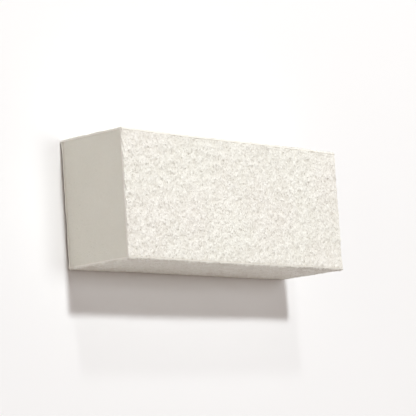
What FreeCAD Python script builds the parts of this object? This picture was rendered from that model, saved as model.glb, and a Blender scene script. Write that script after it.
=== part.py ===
"""Nail buffer block: a bar of white EVA foam with a coated abrasive sheet bonded to each of its four long sides.

Frame: millimetres, +Z up, +X along the block, +Y to its rear. The origin is the centre of the face it rests on.

A sheet is three layers, from the foam outwards: adhesive film, backing paper and grit coat. The top and bottom
sheets are laid on the foam plank before it is slit, so they are as wide as the foam. The front and rear sheets
are laid on the slit sides afterwards, so they cover the cut edges of the other two and give the block its full
thickness. All of them are cut to length with the foam, which leaves both ends bare.
"""

import FreeCAD, Part
import os
import Sketcher

# name: (value in millimetres, what it is)
DRIVING_SIZES = {
    "block_length": (95.0, "cut length of the bar"),
    "block_width": (38.0, "over the front and rear grit coats"),
    "block_thickness": (25.0, "over the top and bottom grit coats"),
    "adhesive_thickness": (0.12, "hot-melt film under each backing paper"),
    "backing_thickness": (0.28, "latex-treated backing paper"),
    "grit_thickness": (0.5, "resin and abrasive grain, to the tips of the grains"),
    "edge_radius": (0.4, "rounding along the block's long edges and where a grit coat ends"),
}
ROUNDING = "min(sizes.edge_radius; 0.9 * sizes.grit_thickness)"

SHEET = "(sizes.adhesive_thickness + sizes.backing_thickness + sizes.grit_thickness)"
CORE_WIDTH = f"(sizes.block_width - 2 * {SHEET})"
CORE_THICKNESS = f"(sizes.block_thickness - 2 * {SHEET})"

# layer: (its thickness, what lies outside it)
LAYERS = {
    "adhesive": ("sizes.adhesive_thickness", "(sizes.backing_thickness + sizes.grit_thickness)"),
    "backing": ("sizes.backing_thickness", "sizes.grit_thickness"),
    "grit_coat": ("sizes.grit_thickness", "0"),
}

# side: (turn about X that points the sheet outwards, its breadth, axis it faces, sign, block centre to its face)
SIDES = {
    "top": (0, CORE_WIDTH, "z", 1, "sizes.block_thickness / 2"),
    "bottom": (180, CORE_WIDTH, "z", -1, "sizes.block_thickness / 2"),
    "front": (90, "sizes.block_thickness", "y", -1, "sizes.block_width / 2"),
    "rear": (-90, "sizes.block_thickness", "y", 1, "sizes.block_width / 2"),
}

SAME_PLACE = 1e-6


def make_sizes(doc):
    """The spreadsheet that drives every sketch, feature and placement."""
    sheet = doc.addObject("Spreadsheet::Sheet", "sizes")
    for row, (name, (value, meaning)) in enumerate(DRIVING_SIZES.items(), start=1):
        sheet.set(f"A{row}", name)
        sheet.set(f"B{row}", str(value))
        sheet.set(f"C{row}", meaning)
        sheet.setAlias(f"B{row}", name)
    doc.recompute()
    return sheet


def origin_plane(body, role):
    """One of a body's own origin planes, such as XY_Plane."""
    return next(item for item in body.Origin.OriginFeatures if item.Role == role)


def add_rectangle(body, length, breadth):
    """A rectangle centred on the body's own XY plane, driven by two expressions."""
    sketch = body.newObject("Sketcher::SketchObject", f"{body.Name}_outline")
    sketch.AttachmentSupport = (origin_plane(body, "XY_Plane"), [""])
    sketch.MapMode = "FlatFace"
    corners = [FreeCAD.Vector(x, y, 0) for x, y in ((-1, -1), (1, -1), (1, 1), (-1, 1))]
    for start, end in zip(corners, corners[1:] + corners[:1]):
        sketch.addGeometry(Part.LineSegment(start, end))
    for side in range(4):
        sketch.addConstraint(Sketcher.Constraint("Coincident", side, 2, (side + 1) % 4, 1))
    for side, direction in enumerate(("Horizontal", "Vertical") * 2):
        sketch.addConstraint(Sketcher.Constraint(direction, side))
    sketch.addConstraint(Sketcher.Constraint("Symmetric", 0, 1, 2, 1, -1, 1))
    for name, side, drive in (("length", 0, length), ("breadth", 1, breadth)):
        index = sketch.addConstraint(Sketcher.Constraint("Distance", side, 2.0))
        sketch.renameConstraint(index, name)
        sketch.setExpression(f"Constraints.{name}", drive)
    return sketch


def add_slab(doc, label, length, breadth, thickness):
    """A body that is one rectangular pad on its own XY plane."""
    body = doc.addObject("PartDesign::Body", label)
    body.Label = label
    pad = body.newObject("PartDesign::Pad", f"{label}_pad")
    pad.Profile = add_rectangle(body, length, breadth)
    pad.setExpression("Length", thickness)
    body.Tip = pad
    doc.recompute()
    return body


def outer_edges(slab, ends_only):
    """The names of the edges round a slab's outer face, or of the two at the block's ends."""
    top = slab.Shape.BoundBox.ZMax
    names = []
    for index, edge in enumerate(slab.Shape.Edges, start=1):
        box = edge.BoundBox
        if box.ZMin > top - SAME_PLACE and not (ends_only and box.XLength > SAME_PLACE):
            names.append(f"Edge{index}")
    return names


def round_edges(doc, body, ends_only):
    """Rounds the outer edges of a grit coat, by no more than its thickness allows."""
    slab = body.Tip
    names = outer_edges(slab, ends_only)
    fillet = body.newObject("PartDesign::Fillet", f"{body.Name}_rounding")
    fillet.Base = (slab, names)
    fillet.setExpression("Radius", ROUNDING)
    body.Tip = fillet
    doc.recompute()


def make_core(doc):
    """The foam bar. It carries all four sheets, and its cut ends are the block's ends."""
    core = add_slab(doc, "foam_core", "sizes.block_length", CORE_WIDTH, CORE_THICKNESS)
    core.setExpression("Placement.Base.z", SHEET)
    return core


def make_layer(doc, layer, side):
    """One layer of the sheet on one side, laid against the layer below it."""
    thickness, outside = LAYERS[layer]
    turn, breadth, axis, sign, half = SIDES[side]
    body = add_slab(doc, f"{layer}_{side}", "sizes.block_length", breadth, thickness)
    if layer == "grit_coat":
        round_edges(doc, body, ends_only=axis == "z")
    body.Placement.Rotation = FreeCAD.Rotation(FreeCAD.Vector(1, 0, 0), turn)
    reach = f"{sign} * ({half} - {outside} - {thickness})"
    middle = "sizes.block_thickness / 2"
    body.setExpression("Placement.Base.z", f"{middle} + {reach}" if axis == "z" else middle)
    if axis == "y":
        body.setExpression("Placement.Base.y", reach)
    return body


def check(doc, bodies):
    """Stops the build if any object failed or any sub-part has no sound solid."""
    failed = [item.Name for item in doc.Objects if {"Invalid", "Error"} & set(item.State)]
    if failed:
        raise RuntimeError(f"these objects failed to recompute: {failed}")
    for body in bodies:
        shape = body.Shape
        if shape.isNull() or not shape.isValid() or len(shape.Solids) != 1:
            raise RuntimeError(f"{body.Label} is not one valid solid")


def main():
    doc = FreeCAD.newDocument("nail_buffer_block")
    make_sizes(doc)
    bodies = [make_core(doc)]
    for side in SIDES:
        for layer in LAYERS:
            bodies.append(make_layer(doc, layer, side))
    doc.recompute()
    check(doc, bodies)
    os.makedirs("parts", exist_ok=True)
    for body in bodies:
        body.Shape.exportStep(f"parts/{body.Label}.step")


main()
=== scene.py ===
"""The looks of a nail buffer block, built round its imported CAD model. Metres, in the CAD model's own frame.

Every sheet is made in its own coordinates first: u along the block, v across the sheet, w out from the foam.
"""

import math

import bpy
import numpy as np
from mathutils import Matrix, Vector


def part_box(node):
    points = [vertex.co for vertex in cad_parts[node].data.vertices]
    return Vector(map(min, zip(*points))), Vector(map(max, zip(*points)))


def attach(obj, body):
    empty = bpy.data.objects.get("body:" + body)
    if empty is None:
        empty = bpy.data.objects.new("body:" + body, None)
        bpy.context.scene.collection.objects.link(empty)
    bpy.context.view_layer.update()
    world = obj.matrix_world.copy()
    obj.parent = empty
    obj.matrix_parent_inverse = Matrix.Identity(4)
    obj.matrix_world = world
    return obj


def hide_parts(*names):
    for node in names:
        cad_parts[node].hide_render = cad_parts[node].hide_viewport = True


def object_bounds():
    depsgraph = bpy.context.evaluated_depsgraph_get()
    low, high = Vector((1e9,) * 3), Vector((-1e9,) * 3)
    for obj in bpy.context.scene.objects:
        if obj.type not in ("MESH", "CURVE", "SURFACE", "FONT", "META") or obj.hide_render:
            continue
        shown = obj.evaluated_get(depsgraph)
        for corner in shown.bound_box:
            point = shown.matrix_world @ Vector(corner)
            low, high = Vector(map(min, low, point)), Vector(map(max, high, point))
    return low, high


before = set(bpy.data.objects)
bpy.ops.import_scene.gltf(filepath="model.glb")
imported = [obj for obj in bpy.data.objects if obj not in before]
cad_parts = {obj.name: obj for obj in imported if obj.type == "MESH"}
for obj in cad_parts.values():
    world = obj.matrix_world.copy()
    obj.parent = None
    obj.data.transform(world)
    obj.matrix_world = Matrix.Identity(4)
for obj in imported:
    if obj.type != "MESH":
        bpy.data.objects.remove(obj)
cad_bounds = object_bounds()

MM = 0.001

# side: the turn about X that points a sheet's w outwards
SIDES = {"top": 0.0, "bottom": math.pi, "front": math.pi / 2, "rear": -math.pi / 2}
# side: whether the long edges of its sheet are also the block's own long edges
OUTSIDE_EDGES = {"top": False, "bottom": False, "front": True, "rear": True}


# ---------------------------------------------------------------- relief


def stations(start, end, step, edge_steps=()):
    """Places from start to end: edge_steps apart at both ends, and about a step apart between."""
    edge = np.concatenate([[0.0], np.cumsum(edge_steps)])
    low, high = start + edge[-1], end - edge[-1]
    middle = np.linspace(low, high, round((high - low) / step) + 1)
    return np.concatenate([start + edge[:-1], middle, (end - edge[:-1])[::-1]])


def grid_over(u, v, pitch):
    """The shape of a square grid that covers the points (u, v) with room to spare, and their places on it."""
    low = np.array([u.min(), v.min()]) - 2 * pitch
    shape = tuple(np.ceil((np.array([u.max(), v.max()]) - low) / pitch).astype(int) + 3)
    return shape, (u - low[0]) / pitch, (v - low[1]) / pitch


LUMP_STEPS = 4  # steps of the noise's own grid to a lump
LUMP_BLUR = 1.2  # in those steps


def lumps(rng, u, v, size):
    """Soft noise of unit variance at the points (u, v), with lumps about size across."""
    shape, a, b = grid_over(u, v, size / LUMP_STEPS)
    spectrum = np.fft.rfft2(rng.standard_normal(shape))
    frequency_squared = np.fft.fftfreq(shape[0])[:, None] ** 2 + np.fft.rfftfreq(shape[1]) ** 2
    blur = np.exp(-2 * (math.pi ** 2) * frequency_squared * LUMP_BLUR ** 2)
    field = np.fft.irfft2(spectrum * blur, shape)
    field = (field - field.mean()) / field.std()
    i, j = a.astype(int), b.astype(int)
    a, b = a - i, b - j
    a, b = a * a * (3 - 2 * a), b * b * (3 - 2 * b)
    near = field[i, j] * (1 - b) + field[i, j + 1] * b
    far = field[i + 1, j] * (1 - b) + field[i + 1, j + 1] * b
    return near * (1 - a) + far * a


# A grain's place in its cell, its radius in cells and its height: each lies between two numbers.
GRAIN_PLACES, GRAIN_RADII, GRAIN_TALLNESS = (0.05, 0.95), (0.55, 0.95), (0.35, 1.0)
GRAIN_LEAN = 0.35  # typical slope of a grain's top
GRAIN_STEEPNESS = 1.6  # of its flanks: over 1, so that its middle is flat


def grains(rng, u, v, pitch):
    """Heights from 0 to about 1 of angular grains, one to each pitch by pitch cell, at the points (u, v)."""
    shape, a, b = grid_over(u, v, pitch)
    shift = rng.uniform(*GRAIN_PLACES, (2, *shape))
    reach = rng.uniform(*GRAIN_RADII, shape)
    tall = rng.uniform(*GRAIN_TALLNESS, shape)
    tilt = rng.normal(0.0, GRAIN_LEAN, (2, *shape))
    i, j = a.astype(int), b.astype(int)
    height = np.zeros_like(u)
    for di in (-1, 0, 1):
        for dj in (-1, 0, 1):
            cell = (i + di, j + dj)
            da, db = a - cell[0] - shift[0][cell], b - cell[1] - shift[1][cell]
            fall = np.maximum(0.0, 1 - np.hypot(da, db) / reach[cell])
            facet = 1 + tilt[0][cell] * da + tilt[1][cell] * db
            height = np.maximum(height, tall[cell] * np.minimum(GRAIN_STEEPNESS * fall, 1.0) * facet)
    return height


# ---------------------------------------------------------------- meshes


def rim_of(count_u, count_v):
    """A grid's rim points, anticlockwise seen from outside: their rows, columns and sides."""
    rows, columns = np.arange(count_u), np.arange(count_v)
    sides = [
        (rows[:-1], 0 * rows[:-1]),
        (0 * columns[:-1] + count_u - 1, columns[:-1]),
        (rows[:0:-1], 0 * rows[:0:-1] + count_v - 1),
        (0 * columns[:0:-1], columns[:0:-1]),
    ]
    which = np.concatenate([np.full(len(row), side) for side, (row, _) in enumerate(sides)])
    return np.concatenate([s[0] for s in sides]), np.concatenate([s[1] for s in sides]), which


def grid_faces(count_u, count_v):
    """The quads of a grid whose points are numbered row by row, anticlockwise seen from +w."""
    first = (np.arange(count_u - 1)[:, None] * count_v + np.arange(count_v - 1)).ravel()
    return np.stack([first, first + count_v, first + count_v + 1, first + 1], 1)


def band_faces(upper, lower):
    """The quads between two closed rings of point numbers, facing outwards when lower is the inner ring."""
    return np.stack([upper, lower, np.roll(lower, -1), np.roll(upper, -1)], 1)


BOW = 0.16 * MM  # how far foam and knife let a face wander inwards
PINCH, PINCH_REACH = 0.28 * MM, 1.7 * MM  # how far the soft foam lets the sheets dip at the block's edges


def wave(phase):
    """A wave from 0 to 1."""
    return 0.5 + 0.5 * np.sin(phase)


def handmade(points):
    """Moves a true bar's points to a real one's: sides a little bowed, ends not quite square, base flat."""
    low, high = (np.array(corner) for corner in cad_bounds)
    half = (high - low) / 2
    x, y, z = ((points - (low + high) / 2) / half).T
    dip_x, dip_y, dip_z = (
        PINCH * np.clip(1 - (1 - abs(along)) * side / PINCH_REACH, 0, 1) ** 2
        for along, side in zip((x, y, z), half)
    )
    # The waves' own numbers are arbitrary: they make no two faces bow alike.
    ends = wave(1.3 * y * np.sign(x) + 0.8 * z + 0.6)
    sides = wave(3.7 * x + 1.1 * z + 2.2 * np.sign(y))
    top = wave(2.9 * x + 1.7 * y + 0.9)
    bow = BOW * np.stack([ends * x, sides * y, top * (z + 1) / 2], 1)
    dip = np.stack([0 * x, np.maximum(dip_x, dip_z) * y, np.maximum(dip_x, dip_y) * z], 1)
    return points - bow - dip


def mesh_object(name, points, faces, places, sharp_ring=()):
    """A mesh, smooth but for its sharp_ring, with its map for baking.

    places holds a spot on the map for each corner of each face.
    """
    mesh = bpy.data.meshes.new(name)
    mesh.from_pydata(handmade(points).tolist(), [], faces)
    mesh.uv_layers.new(name="OFBake").data.foreach_set("uv", places.astype(np.float32).ravel())
    mesh.shade_smooth()
    ends = np.empty(2 * len(mesh.edges), np.int32)
    mesh.edges.foreach_get("vertices", ends)
    sharp = np.isin(ends.reshape(-1, 2), sharp_ring).all(1)
    mesh.attributes.new("sharp_edge", "BOOLEAN", "EDGE").data.foreach_set("value", sharp)
    mesh.validate()
    piece = bpy.data.objects.new(name, mesh)
    bpy.context.scene.collection.objects.link(piece)
    return piece


def rim_shares(row, column, which, along_u, along_v):
    """How far along its side of the rim each rim point lies, from 0 to 1, and the same for the next point."""
    start = np.where(which % 2 == 0, along_u[row], along_v[column])
    start = np.where(which < 2, start, 1 - start)
    return start, np.where(np.roll(which, -1) == which, np.roll(start, -1), 1.0)


# Each piece has one map for baking, from 0 to 1 both ways, with its parts one above the other.
MAP_MARGIN = 0.01
MAP_WIDTH = 1 - 2 * MAP_MARGIN
MAP_FACE_TOP = 0.72  # how far up the map a sheet's outer face reaches
MAP_RIM_HEIGHT = 0.03
MAP_UNDERSIDE = (0.90, 0.99)

UNDERSIDE_INSETS = np.array([0.6, 1.2, 1.9]) * MM  # from a long edge to the grid's lines beside it
UNDERSIDE_END_GAP = 1.1 * MM


def end_fillers(numbers, sides, first):
    """The faces from row 0 of a grid of point numbers to its row first, split at the columns in sides."""
    faces = []
    for a, b in zip(sides, sides[1:]):
        face = [*numbers[0, a:b + 1]]
        if b == sides[-1]:
            face += [*numbers[1:first, b]]
        face += [numbers[first, b], numbers[first, a]]
        if a == sides[0]:
            face += [*numbers[first - 1:0:-1, a]]
        faces.append(face)
    return faces


def underside(face, numbers, first_new):
    """A coarse grid inside a sheet's inner rim: its points and its faces.

    numbers is laid out as face is and holds the numbers of the inner rim's points. The new points' numbers,
    from first_new on, are put into it. The grid keeps clear of the ragged ends: there, many-sided faces fill
    the gap.
    """
    along, across = face[:, 0, 0], face[0, :, 1]
    wanted = [across[0] + UNDERSIDE_INSETS, across[-1] - UNDERSIDE_INSETS, [0.0]]
    columns = np.unique(abs(across[:, None] - np.concatenate(wanted)).argmin(0))
    rows = np.flatnonzero((along > along[0] + UNDERSIDE_END_GAP) & (along < along[-1] - UNDERSIDE_END_GAP))
    inner = np.ix_(rows, columns)
    points = (face[inner] * (1, 1, 0)).reshape(-1, 3)
    numbers[inner] = (first_new + np.arange(len(points))).reshape(len(rows), len(columns))
    sides = [0, *columns, len(across) - 1]
    faces = end_fillers(numbers, sides, rows[0])
    faces += [filler[::-1] for filler in end_fillers(numbers[::-1], sides, len(along) - 1 - rows[-1])]
    for a, b in zip(sides, sides[1:]):
        left, right = numbers[rows, a], numbers[rows, b]
        faces += np.stack([left[:-1], right[:-1], right[1:], left[1:]], 1).tolist()
    return points, faces


def face_map(count_rings, row, column, which, along_u, along_v):
    """Where a sheet's outer face lies in its map, corner by corner, and then the bands round its edge."""
    spots = np.stack(np.meshgrid(MAP_MARGIN + MAP_WIDTH * along_u, along_v, indexing="ij"), 2)
    high = MAP_FACE_TOP - MAP_MARGIN
    places = [(spots * (1, high) + (0, MAP_MARGIN)).reshape(-1, 2)[grid_faces(len(along_u), len(along_v))]]
    start, finish = rim_shares(row, column, which, along_u, along_v)
    foot = MAP_FACE_TOP + MAP_MARGIN + which * (MAP_RIM_HEIGHT + MAP_MARGIN)
    for number in range(count_rings):
        upper = foot + MAP_RIM_HEIGHT * (1 - number / count_rings)
        lower = foot + MAP_RIM_HEIGHT * (1 - (number + 1) / count_rings)
        corners = [(start, upper), (start, lower), (finish, lower), (finish, upper)]
        places.append(np.stack([np.stack([MAP_MARGIN + MAP_WIDTH * x, y], 1) for x, y in corners], 1))
    return spots, np.concatenate(places).reshape(-1, 2)


def sheet_mesh(name, u, v, face, rings, turned, middle, relief=None):
    """A closed sheet: face is its outer grid of points, rings are its rim points from there down to w = 0.

    relief, from 0 to 1 for each point of the face, is kept on the mesh for its material to read: the material
    paints shade into its low places with it.
    """
    count_u, count_v = face.shape[:2]
    row, column, which = rim_of(count_u, count_v)
    loops = [row * count_v + column]
    for number in range(len(rings)):
        loops.append(count_u * count_v + number * len(row) + np.arange(len(row)))
    quads = [grid_faces(count_u, count_v)]
    quads += [band_faces(upper, lower) for upper, lower in zip(loops, loops[1:])]
    numbers = np.full((count_u, count_v), -1)
    numbers[row, column] = loops[-1]
    below, below_faces = underside(face, numbers, loops[-1][-1] + 1)
    points = np.concatenate([face.reshape(-1, 3), rings.reshape(-1, 3), below])
    along_u, along_v = (u - u[0]) / (u[-1] - u[0]), (v - v[0]) / (v[-1] - v[0])
    spots, places = face_map(len(rings), row, column, which, along_u, along_v)
    spot_of = np.zeros((len(points), 2))
    used = numbers >= 0
    spot_of[numbers[used]] = spots[used] * (1, MAP_UNDERSIDE[1] - MAP_UNDERSIDE[0]) + (0, MAP_UNDERSIDE[0])
    faces = np.concatenate(quads).tolist() + below_faces
    places = np.concatenate([places, spot_of[np.concatenate(below_faces)]])
    piece = mesh_object(name, points @ turned.T + middle, faces, places, loops[-1])
    if relief is not None:
        values = np.zeros(len(points))
        values[:relief.size] = relief.ravel()
        values[loops[1:]] = relief[row, column]
        piece.data.attributes.new("relief", "FLOAT", "POINT").data.foreach_set("value", values)
    return piece


def spans(node, turn):
    """A sheet's length, breadth and thickness, the matrix that turns it, and the middle of its inner face."""
    low, high = (np.array(corner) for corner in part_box(node))
    turned = np.array(Matrix.Rotation(turn, 3, "X"))
    breadth, thickness = abs((high - low) @ turned[:, 1]), abs((high - low) @ turned[:, 2])
    middle = (low + high) / 2 - turned[:, 2] * thickness / 2
    return high[0] - low[0], breadth, thickness, turned, middle


GRIT_STEP = 0.21 * MM
GRIT_EDGE_STEPS = np.array([0.07, 0.08, 0.1, 0.12, 0.15, 0.18]) * MM
GRIT_JITTER = 0.3 * GRIT_STEP
GRIT_STEADY = 8  # rows and columns of points along each edge that stay in line
GRAIN_PITCH, GRAIN_HEIGHT = 0.5 * MM, 0.14 * MM
CLUMP_PITCH, CLUMP_HEIGHT = 0.95 * MM, 0.12 * MM
LUMP_SIZE, LUMP_HEIGHT = 1.7 * MM, 0.075 * MM
LUMP_SQUARENESS = 1.3
SWELL_SIZE, SWELL_HEIGHT = 9 * MM, 0.01 * MM
CUT_RADIUS = 0.14 * MM  # rounding where a coat is cut off, at the ends
LONG_RADIUS = 0.40 * MM  # rounding along the block's long edges
SLIT_RADIUS = 0.05 * MM  # rounding where a coat meets the next side's sheet
RAGGED_SIZE = 0.7 * MM  # how long a stretch of edge keeps one rounding
RAGGED_END, RAGGED_LONG = 0.35, 0.2  # how much the rounding varies
LEAST_THICKNESS = 0.05 * MM
BREAK_SIZE, BREAK_DEPTH = 2.0 * MM, 0.18 * MM  # bites that broken-off grains leave in a cut edge
BREAK_SHIFT, BREAK_MOST = 0.7, 2.8  # how much of the edge is bitten, and the deepest bite in BREAK_DEPTHs
BREAK_REACH = 0.8 * MM  # how far in from the edge a bite draws the points
BREAK_LONG = 0.5  # depth of the bites along the long edges, as a share of the others
FLUSH = 0.17 * MM  # how far a sheet's outside long edge stands back, to lie level with its neighbour's grains


def rounded_drop(distance, radius):
    """How far a quarter round of that radius lies below the face, that distance in from its edge."""
    inside = np.clip(1 - distance / radius, 0, 1)
    return radius * (1 - np.sqrt(1 - inside ** 2))


def grit_relief(rng, plan_u, plan_v):
    """Heights of the grains over a coat's plan."""
    relief = GRAIN_HEIGHT * grains(rng, plan_u, plan_v, GRAIN_PITCH)
    relief += CLUMP_HEIGHT * grains(rng, plan_u, plan_v, CLUMP_PITCH)
    relief += LUMP_HEIGHT * np.tanh(LUMP_SQUARENESS * lumps(rng, plan_u, plan_v, LUMP_SIZE))
    relief += SWELL_HEIGHT * lumps(rng, plan_u, plan_v, SWELL_SIZE)
    return relief


def grit_coat(node, side, seed):
    """The abrasive coat of one side: a slab of grains in resin, ragged where it is cut."""
    rng = np.random.default_rng(seed)
    length, breadth, thickness, turned, middle = spans(node, SIDES[side])
    u = stations(-length / 2, length / 2, GRIT_STEP, GRIT_EDGE_STEPS)
    v = stations(-breadth / 2, breadth / 2, GRIT_STEP, GRIT_EDGE_STEPS)
    plan_u, plan_v = (a.copy() for a in np.meshgrid(u, v, indexing="ij"))
    inner = (slice(GRIT_STEADY, -GRIT_STEADY), slice(GRIT_STEADY, -GRIT_STEADY))
    plan_u[inner] += rng.uniform(-GRIT_JITTER, GRIT_JITTER, plan_u[inner].shape)
    plan_v[inner] += rng.uniform(-GRIT_JITTER, GRIT_JITTER, plan_v[inner].shape)
    relief = grit_relief(rng, plan_u, plan_v)
    from_end = length / 2 - abs(plan_u)
    from_long = breadth / 2 - abs(plan_v)
    ragged = lumps(rng, plan_u, plan_v, RAGGED_SIZE)
    end_radius = CUT_RADIUS * (1 + RAGGED_END * np.clip(ragged, -2, 2))
    long_radius = LONG_RADIUS if OUTSIDE_EDGES[side] else SLIT_RADIUS
    long_radius = long_radius * (1 + RAGGED_LONG * np.clip(ragged, -2, 1))
    height = thickness + relief - relief.max()
    height -= rounded_drop(from_end, end_radius) + rounded_drop(from_long, long_radius)
    height = np.clip(height, LEAST_THICKNESS, thickness)
    broken = BREAK_DEPTH * np.clip(lumps(rng, plan_u, plan_v, BREAK_SIZE) + BREAK_SHIFT, 0, BREAK_MOST)
    plan_u -= np.sign(plan_u) * broken * np.clip(1 - from_end / BREAK_REACH, 0, 1)
    if OUTSIDE_EDGES[side]:
        drawn_in = FLUSH + BREAK_LONG * broken
        plan_v -= np.sign(plan_v) * drawn_in * np.clip(1 - from_long / BREAK_REACH, 0, 1)
    face = np.stack([plan_u, plan_v, height], 2)
    row, column, _ = rim_of(len(u), len(v))
    rings = np.stack([face[row, column] * (1, 1, share) for share in (0.5, 0.0)])
    relief = (relief - relief.min()) / np.ptp(relief)
    return sheet_mesh(f"{node}_grains", u, v, face, rings, turned, middle, relief)


LAYER_STEP = 0.5 * MM
LAYER_EDGE_SIZE, LAYER_EDGE_DEPTH = 0.8 * MM, 0.02 * MM  # waviness of a film's or paper's cut edge


def thin_layer(node, side, seed, name, end_recess):
    """A film or paper between foam and grit, whose cut ends stand back by end_recess."""
    rng = np.random.default_rng(seed)
    length, breadth, thickness, turned, middle = spans(node, SIDES[side])
    u = stations(-length / 2, length / 2, LAYER_STEP)
    v = stations(-breadth / 2, breadth / 2, LAYER_STEP)
    plan_u, plan_v = (a.copy() for a in np.meshgrid(u, v, indexing="ij"))
    face = np.stack([plan_u, plan_v, np.full_like(plan_u, thickness)], 2)
    row, column, _ = rim_of(len(u), len(v))
    rim = face[row, column].copy()
    at_end = np.isclose(abs(rim[:, 0]), length / 2)
    at_long = np.isclose(abs(rim[:, 1]), breadth / 2) & OUTSIDE_EDGES[side]
    rings = []
    for share in (1.0, 0.5, 0.0):
        uneven = LAYER_EDGE_DEPTH * lumps(rng, rim[:, 0], rim[:, 1], LAYER_EDGE_SIZE)
        ring = rim.copy()
        ring[:, 0] -= np.sign(ring[:, 0]) * np.maximum(end_recess + uneven, 0) * at_end
        ring[:, 1] -= np.sign(ring[:, 1]) * np.maximum(FLUSH + uneven, 0) * at_long
        ring[:, 2] = thickness * share
        rings.append(ring)
    face[row, column] = rings[0]
    return sheet_mesh(name, u, v, face, np.stack(rings[1:]), turned, middle)


FOAM_STEP = 0.15 * MM
FOAM_EDGE_STEPS = np.array([0.08, 0.1, 0.13]) * MM
FOAM_RING_INSET, FOAM_RING_STEP = 0.6 * MM, 6 * MM
FOAM_RING_EDGE_STEPS = np.array([0.4, 0.5, 0.6]) * MM
FOAM_DISH = 0.18 * MM
FOAM_SET_BACK = 0.06 * MM
FOAM_EDGE_RADIUS = 0.15 * MM
KNIFE_MARK_SIZE, KNIFE_MARK_DEPTH = 0.9 * MM, 0.009 * MM
KNIFE_MARK_NARROWNESS = 0.08  # their breadth as a share of their length
CELL_PITCH, CELL_DEPTH = 0.42 * MM, 0.04 * MM
PORE_PITCH, PORE_STEEPNESS = 0.7 * MM, 2.6 * MM
PORE_FROM, PORE_RISE = 0.965, 0.035  # only the tops of the tallest grains of noise become pores


def foam_end(rng, plan_y, plan_z, half_y, half_z):
    """How far the cut end of the foam lies inside the block's end: dished, scored by the knife and pitted."""
    middle = (1 - (plan_y / half_y) ** 2) * (1 - (plan_z / half_z) ** 2)
    marks = lumps(rng, plan_z, KNIFE_MARK_NARROWNESS * plan_y, KNIFE_MARK_SIZE)
    cells = grains(rng, plan_y, plan_z, CELL_PITCH)
    pores = np.clip(grains(rng, plan_y, plan_z, PORE_PITCH) - PORE_FROM, 0, PORE_RISE)
    near_edge = np.minimum(half_y - abs(plan_y), half_z - abs(plan_z))
    depth = FOAM_SET_BACK + FOAM_DISH * middle + KNIFE_MARK_DEPTH * marks
    depth += CELL_DEPTH * cells + PORE_STEEPNESS * pores
    depth += rounded_drop(near_edge, FOAM_EDGE_RADIUS)
    return np.maximum(depth, 0)


MAP_END_FEET, MAP_END_HEIGHT = (0.01, 0.39), 0.36
MAP_SIDES_FOOT, MAP_SIDE_PITCH = 0.77, 0.055
MAP_SIDE_FILLED = 0.9  # how much of its strip of the map each bonded side fills


def foam_map(end_faces, count_bands, row, column, which, along_y, along_z):
    """Where the bar's two ends lie in its map, corner by corner, and then the bands along its sides."""
    places = []
    spots = np.stack(np.meshgrid(along_y, along_z, indexing="ij"), 2).reshape(-1, 2)
    for foot, faces in zip(MAP_END_FEET, end_faces):
        places.append((spots * (MAP_WIDTH, MAP_END_HEIGHT) + (MAP_MARGIN, foot))[faces])
    start, finish = rim_shares(row, column, which, along_y, along_z)
    for number in range(count_bands):
        near, far = number / count_bands, (number + 1) / count_bands
        corners = []
        for part, share in ((start, near), (start, far), (finish, far), (finish, near)):
            up = MAP_SIDES_FOOT + (which + part * MAP_SIDE_FILLED) * MAP_SIDE_PITCH
            corners.append(np.stack([np.full(len(row), MAP_MARGIN + MAP_WIDTH * share), up], 1))
        places.append(np.stack(corners, 1))
    return np.concatenate(places).reshape(-1, 2)


def foam_core(node, seed):
    """The foam bar: fine grids over both cut ends, joined by rings along its bonded sides."""
    rng = np.random.default_rng(seed)
    low, high = (np.array(corner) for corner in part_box(node))
    half, middle = (high - low) / 2, (low + high) / 2
    y = stations(-half[1], half[1], FOAM_STEP, FOAM_EDGE_STEPS)
    z = stations(-half[2], half[2], FOAM_STEP, FOAM_EDGE_STEPS)
    plan_y, plan_z = np.meshgrid(y, z, indexing="ij")
    right = half[0] - foam_end(rng, plan_y, plan_z, half[1], half[2])
    left = foam_end(rng, plan_y, plan_z, half[1], half[2]) - half[0]
    right, left = (np.stack([x, plan_y, plan_z], 2).reshape(-1, 3) for x in (right, left))
    row, column, which = rim_of(len(y), len(z))
    reach = half[0] - FOAM_RING_INSET
    rings = []
    for x in stations(-reach, reach, FOAM_RING_STEP, FOAM_RING_EDGE_STEPS)[::-1]:
        rings.append(np.stack([np.full(len(row), x), y[row], z[column]], 1))
    points = np.concatenate([right, *rings, left]) + middle
    rim = row * len(z) + column
    left_start = len(right) + len(rings) * len(rim)
    loops = [rim]
    loops += [len(right) + number * len(rim) + np.arange(len(rim)) for number in range(len(rings))]
    loops.append(left_start + rim)
    end = grid_faces(len(y), len(z))
    faces = [end, left_start + end[:, ::-1]]
    faces += [band_faces(upper, lower) for upper, lower in zip(loops, loops[1:])]
    along_y, along_z = (y + half[1]) / (2 * half[1]), (z + half[2]) / (2 * half[2])
    places = foam_map((end, end[:, ::-1]), len(loops) - 1, row, column, which, along_y, along_z)
    return mesh_object("foam_core_cut", points, np.concatenate(faces).tolist(), places)


# ---------------------------------------------------------------- materials


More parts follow.
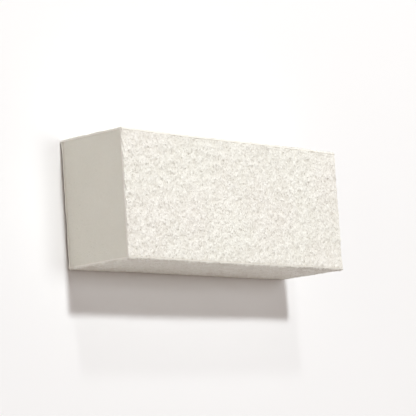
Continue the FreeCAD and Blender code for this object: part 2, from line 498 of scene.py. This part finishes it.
class Surface:
    """A material whose nodes are added one by one, with the piece's own coordinates as the default vector."""

    def __init__(self, name):
        self.material = bpy.data.materials.new(name)
        self.material.use_nodes = True
        self.tree = self.material.node_tree
        self.shader = self.tree.nodes["Principled BSDF"]
        self.place = self.add("ShaderNodeTexCoord").outputs["Object"]

    def feed(self, socket, value):
        """Sets a socket to a value, or links it to another socket."""
        if isinstance(value, bpy.types.NodeSocket):
            self.tree.links.new(value, socket)
        else:
            socket.default_value = value

    def add(self, kind, inputs=None, **settings):
        """A node with its settings made and its inputs set to a value or linked to a socket."""
        node = self.tree.nodes.new(kind)
        for key, value in settings.items():
            setattr(node, key, value)
        for key, value in (inputs or {}).items():
            self.feed(node.inputs[key], value)
        return node

    def vector(self, operation, *values):
        """A vector worked out from others."""
        return self.add("ShaderNodeVectorMath", dict(enumerate(values)), operation=operation).outputs[0]

    def noise(self, size, detail=2.0, roughness=0.5, stretch=None):
        """Noise from 0 to 1 with lumps about size across."""
        place = self.place
        if stretch is not None:
            place = self.add("ShaderNodeMapping", {"Vector": place, "Scale": stretch}).outputs["Vector"]
        inputs = {"Vector": place, "Scale": 1 / size, "Detail": detail, "Roughness": roughness}
        return self.add("ShaderNodeTexNoise", inputs, normalize=True).outputs["Fac"]

    def cells(self, size, output="Color", feature="F1"):
        """Voronoi cells about size across."""
        inputs = {"Vector": self.place, "Scale": 1 / size}
        return self.add("ShaderNodeTexVoronoi", inputs, feature=feature).outputs[output]

    def spread(self, value, low, high, to_low=0.0, to_high=1.0):
        """value moved from low..high to to_low..to_high, and held there."""
        inputs = {"Value": value, "From Min": low, "From Max": high, "To Min": to_low, "To Max": to_high}
        return self.add("ShaderNodeMapRange", inputs).outputs["Result"]

    def total(self, *parts):
        """The sum of values, each given as (socket, factor)."""
        so_far = None
        for socket, factor in parts:
            scaled = self.add("ShaderNodeMath", {0: socket, 1: factor}, operation="MULTIPLY").outputs[0]
            if so_far is not None:
                scaled = self.add("ShaderNodeMath", {0: so_far, 1: scaled}, operation="ADD").outputs[0]
            so_far = scaled
        return so_far

    def blend(self, share, first, second, blend_type="MIX"):
        """A colour from first, where share is 0, to second, where it is 1, or to the two multiplied."""
        inputs = {0: share, 6: first, 7: second}
        return self.add("ShaderNodeMix", inputs, data_type="RGBA", blend_type=blend_type).outputs[2]

    def bump(self, height, distance, strength=1.0, normal=None):
        """Bump whose height of 1 stands for distance, on top of another normal if one is given."""
        inputs = {"Height": height, "Distance": distance, "Strength": strength}
        if normal is not None:
            inputs["Normal"] = normal
        return self.add("ShaderNodeBump", inputs).outputs["Normal"]

    def finish(self, **inputs):
        """Sets or links the shader's inputs, with _ for a space in their names."""
        for key, value in inputs.items():
            self.feed(self.shader.inputs[key.replace("_", " ")], value)
        return self.material


def rgb(red, green, blue):
    return (red, green, blue, 1.0)


GRAIN_CELL = 0.38 * MM
GRAIN_FACET = 0.7  # how far a grain's own facet leans its shading
# the first two colours on this line span the grains' own tone and also painted shade in the hollows; the
# third is painted shade in the cracks between grains
GRIT_DARK, GRIT_LIGHT, GRIT_PAINTED_CREVICE_SHADE = rgb(0.80, 0.775, 0.70), rgb(0.97, 0.96, 0.905), rgb(0.74, 0.70, 0.62)
GREEN_TINT, PINK_TINT = rgb(0.995, 1.0, 0.99), rgb(1.0, 0.99, 0.99)


def grit_material():
    """White grains in white resin: each has its own shade and gloss, and clumps of them drift in tone.
    Painted shade darkens the hollows and the cracks between grains, and the grain tops are painted lighter.
    """
    s = Surface("abrasive_coat")
    grain = s.cells(GRAIN_CELL)
    shade = s.add("ShaderNodeSeparateColor", {"Color": grain})
    relief = s.add("ShaderNodeAttribute", attribute_name="relief").outputs["Fac"]
    drift = s.noise(1.8 * MM)
    # the relief term paints shade into the hollows and lightness onto the grain tops; the grains' own shade
    # and the drift are their real tone
    tone = s.total((shade.outputs["Red"], 0.4), (drift, 0.25), (relief, 0.7))
    colour = s.blend(s.spread(tone, 0.3, 1.05), GRIT_DARK, GRIT_LIGHT)
    # painted shade: the edges of each grain's cell, the cracks between grains, are darkened
    painted_crevice_shade = s.spread(s.cells(GRAIN_CELL, "Distance"), 0.35, 0.75)
    colour = s.blend(s.total((painted_crevice_shade, 0.08)), colour, GRIT_PAINTED_CREVICE_SHADE)
    blush = s.spread(s.noise(22 * MM, 1), 0.35, 0.65)
    colour = s.blend(1.0, colour, s.blend(blush, GREEN_TINT, PINK_TINT), "MULTIPLY")
    gloss = s.spread(shade.outputs["Green"], 0.0, 1.0, 0.3, 0.85)
    geometry = s.add("ShaderNodeNewGeometry").outputs["Normal"]
    centred = s.vector("SUBTRACT", grain, (0.5, 0.5, 0.5))
    leaning = s.vector("MULTIPLY_ADD", centred, 3 * (GRAIN_FACET,), geometry)
    facet = s.vector("NORMALIZE", leaning)
    pits, dust = s.cells(0.24 * MM, "Distance"), s.noise(0.12 * MM)
    height = s.total((pits, -1.0), (dust, 0.5), (shade.outputs["Blue"], 0.5))
    return s.finish(
        Base_Color=colour, Roughness=gloss, Normal=s.bump(height, 0.05 * MM, 0.8, facet), IOR=1.6,
    )


FOAM_DARK, FOAM_LIGHT, FOAM_WALL = rgb(0.77, 0.757, 0.676), rgb(0.817, 0.803, 0.727), rgb(0.88, 0.86, 0.79)


def foam_material():
    """White closed-cell foam, cut: a fine mesh of cells, slightly see-through."""
    s = Surface("eva_foam")
    drift = s.noise(9 * MM, 3)
    cell = s.cells(0.2 * MM, "Distance")
    tone = s.total((drift, 0.55), (s.noise(0.5 * MM, 3), 0.45))
    colour = s.blend(s.spread(tone, 0.3, 0.7), FOAM_DARK, FOAM_LIGHT)
    wall = s.spread(cell, 0.0, 0.45)
    colour = s.blend(s.total((wall, 0.12)), colour, FOAM_WALL)
    height = s.total((cell, 1.0), (s.noise(0.4 * MM, 2, stretch=(1, 0.15, 1)), 0.6))
    roughness = s.spread(drift, 0.3, 0.7, 0.62, 0.78)
    return s.finish(
        Base_Color=colour, Roughness=roughness, Normal=s.bump(height, 0.07 * MM), IOR=1.48,
        Subsurface_Weight=0.15, Subsurface_Radius=(1.0, 0.9, 0.75), Subsurface_Scale=0.6 * MM,
    )


PAPER_DARK, PAPER_LIGHT = rgb(0.88, 0.855, 0.785), rgb(0.95, 0.935, 0.88)


def paper_material():
    """Latex-treated backing paper: pale, with fibres that run along the sheet."""
    s = Surface("backing_paper")
    fibre = s.noise(0.25 * MM, 4, 0.6, stretch=(0.2, 1, 1))
    blotch = s.noise(3 * MM, 2)
    tone = s.total((fibre, 0.6), (blotch, 0.4))
    colour = s.blend(s.spread(tone, 0.3, 0.7), PAPER_DARK, PAPER_LIGHT)
    return s.finish(
        Base_Color=colour, Roughness=s.spread(fibre, 0.2, 0.8, 0.6, 0.8),
        Normal=s.bump(fibre, 0.04 * MM, 0.6),
    )


FILM_DARK, FILM_LIGHT = rgb(0.78, 0.74, 0.64), rgb(0.85, 0.82, 0.74)


def adhesive_material():
    """Hot-melt film: milky, a little glossy, with small bubbles."""
    s = Surface("hot_melt_adhesive")
    bubble = s.spread(s.cells(0.5 * MM, "Distance"), 0.0, 0.3)
    cloud = s.noise(1.5 * MM, 3)
    colour = s.blend(s.spread(cloud, 0.3, 0.7), FILM_DARK, FILM_LIGHT)
    return s.finish(
        Base_Color=colour, Roughness=s.spread(bubble, 0, 1, 0.25, 0.45),
        Normal=s.bump(s.total((bubble, 0.6), (cloud, 0.4)), 0.03 * MM, 0.5),
    )


# ---------------------------------------------------------------- the block


def fit_out(piece, node, material):
    """Gives a piece its material, makes it stand for its CAD node and lets it ride with the block."""
    piece.data.materials.append(material)
    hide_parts(node)
    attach(piece, "root")


PAPER_RECESS, FILM_RECESS = 0.02 * MM, 0.05 * MM  # how far their cut ends stand back

grit, foam, paper, adhesive = grit_material(), foam_material(), paper_material(), adhesive_material()
for seed, side in enumerate(SIDES, start=1):
    coat = grit_coat(f"grit_coat_{side}", side, 100 + seed)
    fit_out(coat, f"grit_coat_{side}", grit)
    name = f"backing_{side}"
    backing = thin_layer(name, side, 200 + seed, f"{name}_paper", PAPER_RECESS)
    fit_out(backing, name, paper)
    name = f"adhesive_{side}"
    film = thin_layer(name, side, 300 + seed, f"{name}_film", FILM_RECESS)
    fit_out(film, name, adhesive)
core = foam_core("foam_core", 400)
fit_out(core, "foam_core", foam)


# ---------------------------------------------------------------- floor, light and camera

low, high = (Vector(corner) for corner in cad_bounds)
block_middle = (low + high) / 2

BACKDROP_COLOUR = (1.0, 0.95, 0.9)
BACKDROP_GLOW = 0.8
BACKDROP_RADIUS, BACKDROP_HEIGHT = 2.4, 0.6
BACKDROP_PANELS = 96
FLOOR_GREY = 0.92
FLOOR_GLOW = 0.6 * BACKDROP_GLOW  # where it is full, near the backdrop
FLOOR_GLOW_FROM, FLOOR_GLOW_TO = 0.5, 1.6  # metres from the block, where the glow begins and where it is full


def staged(name, points, faces):
    """Makes a thing that isn't part of the object, and gives back its Surface."""
    mesh = bpy.data.meshes.new(name)
    mesh.from_pydata(points, [], faces)
    thing = bpy.data.objects.new(name, mesh)
    bpy.context.scene.collection.objects.link(thing)
    s = Surface(name)
    mesh.materials.append(s.material)
    return s


def make_floor():
    """A plain pale floor just under the block, which glows more and more towards the backdrop."""
    reach = BACKDROP_RADIUS
    corners = [(-reach, -reach, low.z), (reach, -reach, low.z), (reach, reach, low.z), (-reach, reach, low.z)]
    s = staged("floor", corners, [(0, 1, 2, 3)])
    distance = s.add("ShaderNodeVectorMath", {0: s.place}, operation="LENGTH").outputs["Value"]
    glow = s.spread(distance, FLOOR_GLOW_FROM, FLOOR_GLOW_TO, 0.0, FLOOR_GLOW)
    s.finish(
        Base_Color=rgb(FLOOR_GREY, FLOOR_GREY, FLOOR_GREY), Roughness=0.9, Specular_IOR_Level=0.1,
        Emission_Color=rgb(*BACKDROP_COLOUR), Emission_Strength=glow,
    )


def make_backdrop():
    """A low, evenly lit pale wall all round, so that there is a plain background from any side."""
    angles = 2 * math.pi * np.arange(BACKDROP_PANELS) / BACKDROP_PANELS
    ring = BACKDROP_RADIUS * np.stack([np.cos(angles), np.sin(angles)], 1)
    points = [(x, y, z) for z in (low.z, low.z + BACKDROP_HEIGHT) for x, y in ring]
    foot = np.arange(BACKDROP_PANELS)
    faces = band_faces(foot + BACKDROP_PANELS, foot).tolist()
    staged("backdrop", points, faces).finish(
        Base_Color=rgb(0, 0, 0), Specular_IOR_Level=0.0,
        Emission_Color=rgb(*BACKDROP_COLOUR), Emission_Strength=BACKDROP_GLOW,
    )


LIGHT_DISTANCE = 1.3
LAMP_COLOUR = (0.99, 1.025, 1.045)
# name: (towards the lamp, watts, size in metres)
LAMPS = {
    "key": ((-0.013, 0.459, 0.889), 10.5, 0.12),
    "second": ((-0.113, 0.765, 0.635), 2.0, 0.12),
    "third": ((0.241, 0.042, 0.970), 4.8, 0.5),
    "left": ((-0.95, 0.1, 0.25), 1.1, 0.8),
}
SKY_COLOUR = (1.00, 0.52, 0.28)
SKY_STRENGTH = 0.115


def make_lights():
    """Four soft lamps, and an even warm sky for the light that a room sends back."""
    for name, (towards, watts, size) in LAMPS.items():
        data = bpy.data.lights.new(name, "AREA")
        data.shape = "DISK"
        data.size = size
        data.energy = watts
        data.color = LAMP_COLOUR
        lamp = bpy.data.objects.new(name, data)
        direction = Vector(towards).normalized()
        lamp.location = block_middle + direction * LIGHT_DISTANCE
        lamp.rotation_euler = direction.to_track_quat("Z", "Y").to_euler()
        bpy.context.scene.collection.objects.link(lamp)
    world = bpy.data.worlds.new("studio")
    world.use_nodes = True
    background = world.node_tree.nodes["Background"]
    background.inputs["Color"].default_value = (*SKY_COLOUR, 1.0)
    background.inputs["Strength"].default_value = SKY_STRENGTH
    bpy.context.scene.world = world


TOWARDS_CAMERA = Vector((-0.740, -0.1355, 0.659)).normalized()
PICTURE_RIGHT = Vector((0.82, -0.035, 0.572))  # turned square to the line of sight below
CAMERA_DISTANCE = 0.608
LENS, SENSOR = 177.0, 36.0  # millimetres


def make_camera():
    """Looks at the block's middle, with the block's length running across the picture."""
    data = bpy.data.cameras.new("camera")
    data.lens, data.sensor_width = LENS, SENSOR
    data.clip_start, data.clip_end = 0.01, 20.0
    camera = bpy.data.objects.new("camera", data)
    right = (PICTURE_RIGHT - PICTURE_RIGHT.dot(TOWARDS_CAMERA) * TOWARDS_CAMERA).normalized()
    up = TOWARDS_CAMERA.cross(right)
    camera.matrix_world = Matrix.Translation(block_middle + TOWARDS_CAMERA * CAMERA_DISTANCE) @ Matrix(
        (right, up, TOWARDS_CAMERA)
    ).transposed().to_4x4()
    bpy.context.scene.collection.objects.link(camera)
    bpy.context.scene.camera = camera


make_floor()
make_backdrop()
make_lights()
make_camera()
bpy.context.scene.view_settings.view_transform = "Standard"
